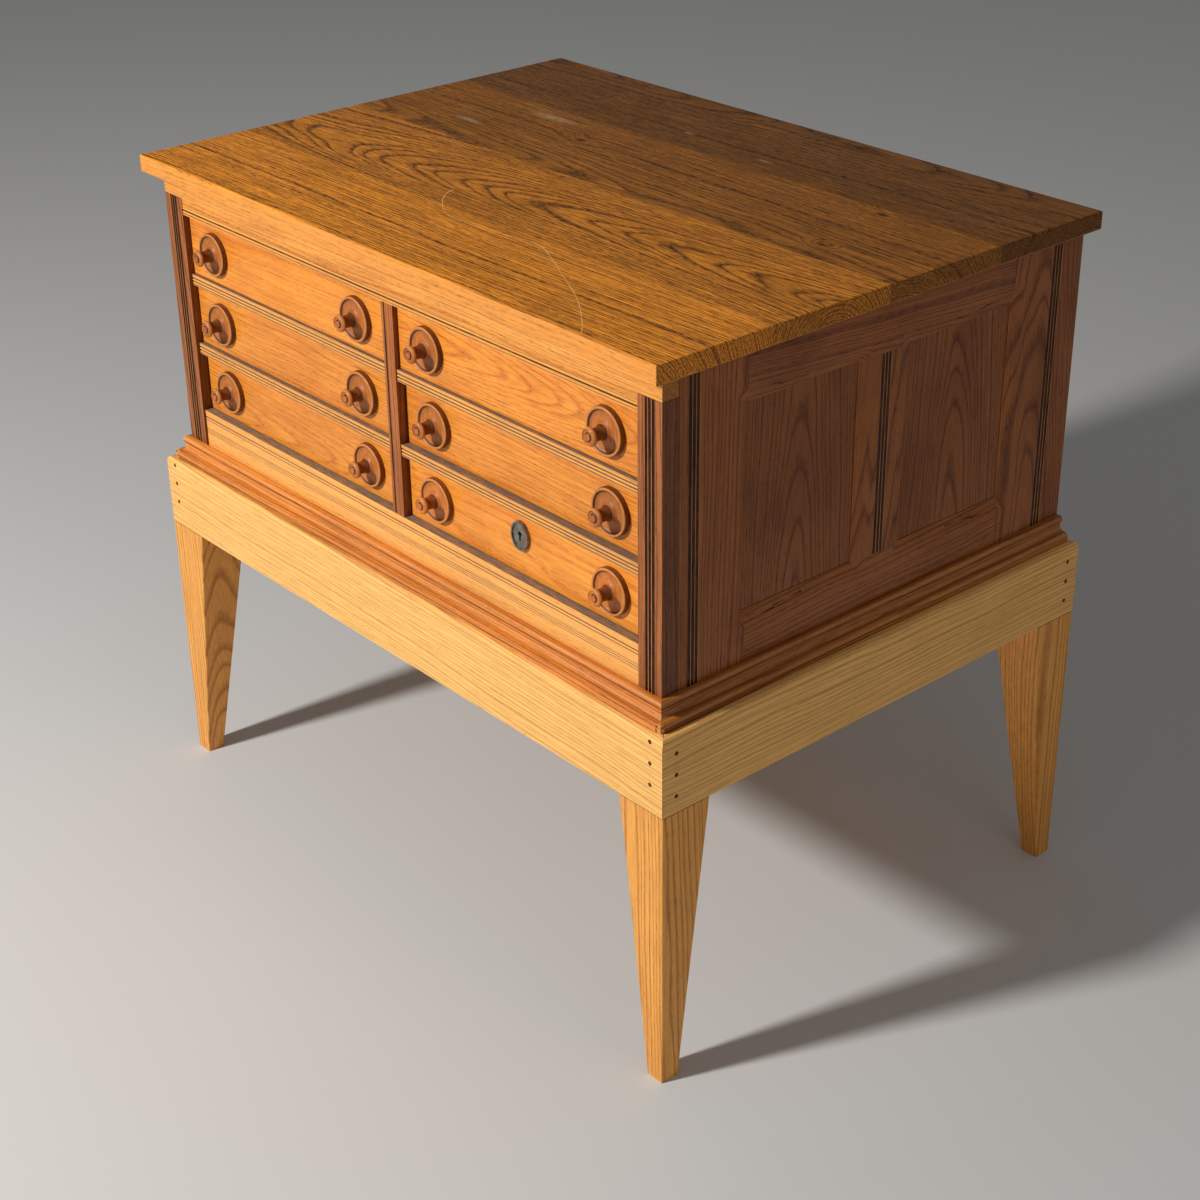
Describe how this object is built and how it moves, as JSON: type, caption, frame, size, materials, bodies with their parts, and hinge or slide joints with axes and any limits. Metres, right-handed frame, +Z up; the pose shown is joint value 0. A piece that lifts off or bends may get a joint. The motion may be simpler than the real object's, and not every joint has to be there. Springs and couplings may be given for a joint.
{
  "type": "tool chest",
  "caption": "Low oak chest of shallow drawers in two columns, framed panelled sides, turned knobs and one lock, on a table stand with tapered legs.",
  "frame": {"origin": "on the floor, under the middle of the stand", "axes": "+Z up, drawers open towards -Y, +X to the right of someone who faces the drawer fronts, along the long side of the chest"},
  "size_m": [0.858, 0.604, 0.761],
  "materials": {
    "old_oak_top": "waxed, olive-brown",
    "old_oak_case": "old shellac, worn on the beads",
    "old_oak_fronts": "old shellac, honey coloured",
    "stand_oak": "newer oak, oiled",
    "inner_wood": "bare, dusty",
    "turned_knobs": "semi-gloss",
    "dark_brass": "tarnished",
    "steel": "dull, dark"
  },
  "bodies": {
    "case": {"top_boards": "old_oak_top", "fascia": "old_oak_case", "top_rail": "old_oak_case", "bottom_rail": "old_oak_case", "front_stile_left": "old_oak_case", "front_stile_right": "old_oak_case", "centre_stile": "old_oak_case", "divider_rails_left": "old_oak_case", "divider_rails_right": "old_oak_case", "side_frame_left": "old_oak_case", "side_frame_right": "old_oak_case", "side_panels": "old_oak_case", "base_moulding_front": "old_oak_case", "base_moulding_left": "old_oak_case", "base_moulding_right": "old_oak_case", "back_boards": "inner_wood", "case_bottom": "inner_wood", "centre_partition": "inner_wood", "drawer_runners": "inner_wood", "drawer_kickers": "inner_wood", "drawer_guides": "inner_wood", "drawer_stops": "inner_wood", "stand_cleats": "stand_oak", "apron_front": "stand_oak", "apron_back": "stand_oak", "apron_left": "stand_oak", "apron_right": "stand_oak", "leg_front_left": "stand_oak", "leg_front_right": "stand_oak", "leg_back_left": "stand_oak", "leg_back_right": "stand_oak", "apron_nails": "steel", "cleat_screws": "steel"},
    "drawer_right_lower": {"escutcheon": "dark_brass", "lock_case": "dark_brass", "drawer_right_lower_front": "old_oak_fronts", "drawer_right_lower_box": "inner_wood", "drawer_right_lower_bottom": "inner_wood", "drawer_right_lower_knobs": "turned_knobs"},
    "lock_bolt": {"lock_bolt": "steel"},
    "drawer_left_upper": {"drawer_left_upper_front": "old_oak_fronts", "drawer_left_upper_box": "inner_wood", "drawer_left_upper_bottom": "inner_wood", "drawer_left_upper_knobs": "turned_knobs"},
    "drawer_left_middle": {"drawer_left_middle_front": "old_oak_fronts", "drawer_left_middle_box": "inner_wood", "drawer_left_middle_bottom": "inner_wood", "drawer_left_middle_knobs": "turned_knobs"},
    "drawer_left_lower": {"drawer_left_lower_front": "old_oak_fronts", "drawer_left_lower_box": "inner_wood", "drawer_left_lower_bottom": "inner_wood", "drawer_left_lower_knobs": "turned_knobs"},
    "drawer_right_upper": {"drawer_right_upper_front": "old_oak_fronts", "drawer_right_upper_box": "inner_wood", "drawer_right_upper_bottom": "inner_wood", "drawer_right_upper_knobs": "turned_knobs"},
    "drawer_right_middle": {"drawer_right_middle_front": "old_oak_fronts", "drawer_right_middle_box": "inner_wood", "drawer_right_middle_bottom": "inner_wood", "drawer_right_middle_knobs": "turned_knobs"}
  },
  "joints": [
    {"name": "slide_left_upper", "type": "slide", "parent": "case", "child": "drawer_left_upper", "axis": [0, -1, 0], "range_m": [-0.006, 0.394]},
    {"name": "slide_left_middle", "type": "slide", "parent": "case", "child": "drawer_left_middle", "axis": [0, -1, 0], "range_m": [-0.004, 0.396]},
    {"name": "slide_left_lower", "type": "slide", "parent": "case", "child": "drawer_left_lower", "axis": [0, -1, 0], "range_m": [-0.001, 0.399]},
    {"name": "slide_right_upper", "type": "slide", "parent": "case", "child": "drawer_right_upper", "axis": [0, -1, 0], "range_m": [-0.005, 0.395]},
    {"name": "slide_right_middle", "type": "slide", "parent": "case", "child": "drawer_right_middle", "axis": [0, -1, 0], "range_m": [0, 0.4]},
    {"name": "slide_right_lower", "type": "slide", "parent": "case", "child": "drawer_right_lower", "axis": [0, -1, 0], "range_m": [-0.001, 0.399]},
    {"name": "bolt_throw", "type": "slide", "parent": "drawer_right_lower", "child": "lock_bolt", "axis": [0, 0, 1], "range_m": [0, 0.007]}
  ]
}
